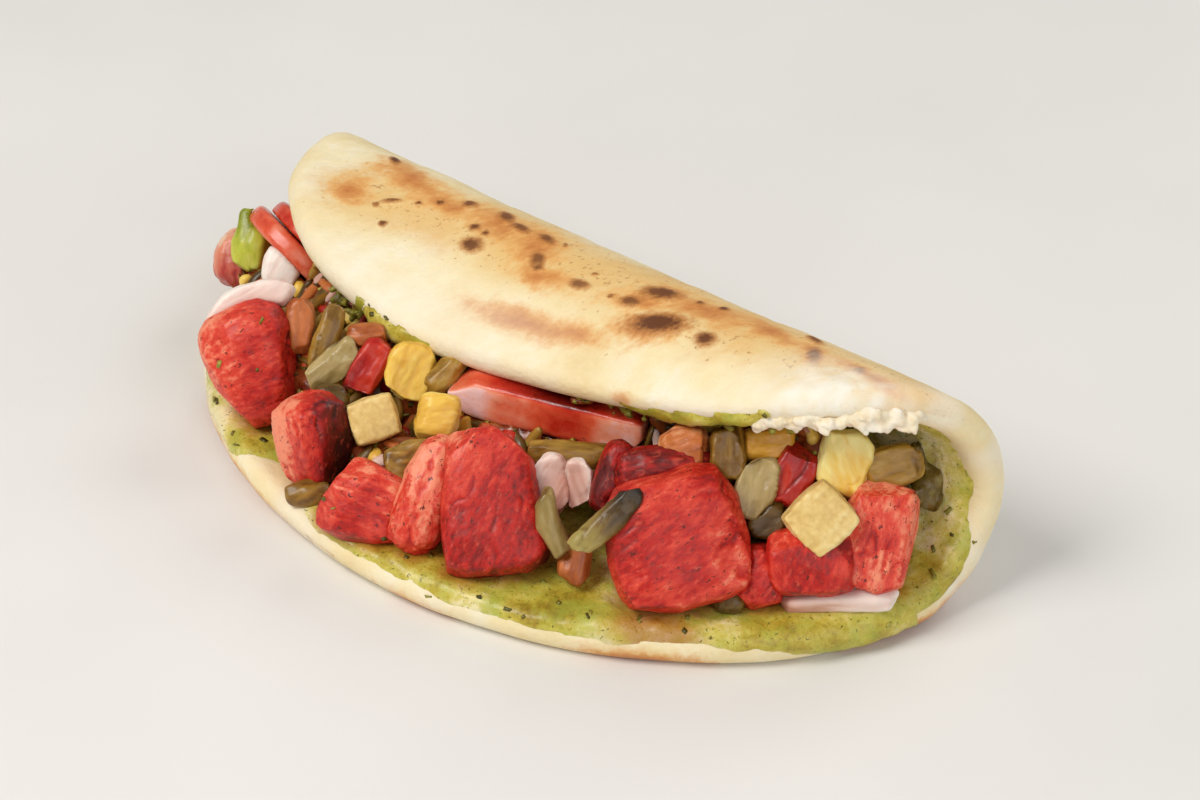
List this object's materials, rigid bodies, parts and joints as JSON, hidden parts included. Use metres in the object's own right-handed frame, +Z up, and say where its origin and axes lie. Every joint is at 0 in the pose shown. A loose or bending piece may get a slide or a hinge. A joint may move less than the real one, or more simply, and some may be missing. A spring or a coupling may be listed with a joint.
{
  "type": "flatbread wrap",
  "caption": "Oval flatbread folded once over grilled red chicken chunks, tomato, onion, mixed peppers and pale cubes; open front, lies flat on its lower flap.",
  "frame": {"origin": "on the flat underside of the lower flap, near its middle", "axes": "+X along the fold towards the taller end, -Y towards the open front, +Z up"},
  "size_m": [0.2029, 0.1054, 0.0559],
  "materials": {
    "bread": "pale baked dough, floury, with golden and dark brown toasted spots",
    "cooked_filling": "cooked vegetables and brown-red sauce, wet",
    "chicken": "red marinated grilled chicken, moist and fibrous",
    "tomato": "cut tomato, wet",
    "onion": "white and pink onion, moist",
    "red_pepper": "red pepper, glossy",
    "green_pepper": "cooked green pepper, glossy",
    "pale_pepper": "pale green pepper, glossy",
    "yellow_pepper": "yellow pepper, moist",
    "orange_pepper": "cooked orange pepper and onion, moist",
    "pale_cube": "pale yellow soft cubes",
    "leaf": "dark green leaf"
  },
  "bodies": {
    "root": {"bread": "bread", "tomato_half_slice": "tomato", "tomato_slice_outer": "tomato", "tomato_slice_inner": "tomato", "vegetable_heap": "cooked_filling", "onion_band_right": "onion", "onion_arc_left": "onion", "chicken_left": "chicken", "chicken_middle": "chicken", "green_strip_right": "green_pepper", "chicken_big": "chicken", "chicken_left_front": "chicken", "chicken_front": "chicken", "chicken_torn": "chicken", "chicken_right": "chicken", "chicken_right_low": "chicken", "chicken_behind": "chicken", "chicken_gap": "chicken", "chicken_scrap": "chicken", "red_onion_wedge": "onion", "green_pepper_left": "green_pepper", "onion_bit_left": "onion", "pale_cube_left": "pale_cube", "pale_cube_right": "pale_cube", "yellow_pepper_cube": "yellow_pepper", "yellow_pepper_left": "yellow_pepper", "yellow_pepper_right": "yellow_pepper", "red_pepper_left": "red_pepper", "red_pepper_right": "red_pepper", "pale_pepper_left": "pale_pepper", "dark_pepper_left": "green_pepper", "pale_pepper_right": "pale_pepper", "dark_pepper_right": "green_pepper", "orange_pepper_right": "orange_pepper", "olive_pepper_upright": "green_pepper", "cooked_onion_right": "orange_pepper", "olive_strip_middle": "green_pepper", "onion_petal_left": "onion", "onion_petal_right": "onion", "green_strip_left": "green_pepper", "onion_stub": "orange_pepper", "olive_pepper_middle": "green_pepper", "olive_strip_front": "green_pepper", "olive_strip_right": "green_pepper", "olive_strip_left": "green_pepper", "brown_strip_left": "orange_pepper", "orange_pepper_left": "orange_pepper", "yellow_bit_left": "yellow_pepper", "green_scrap": "green_pepper", "leaf_right": "leaf"}
  },
  "joints": []
}
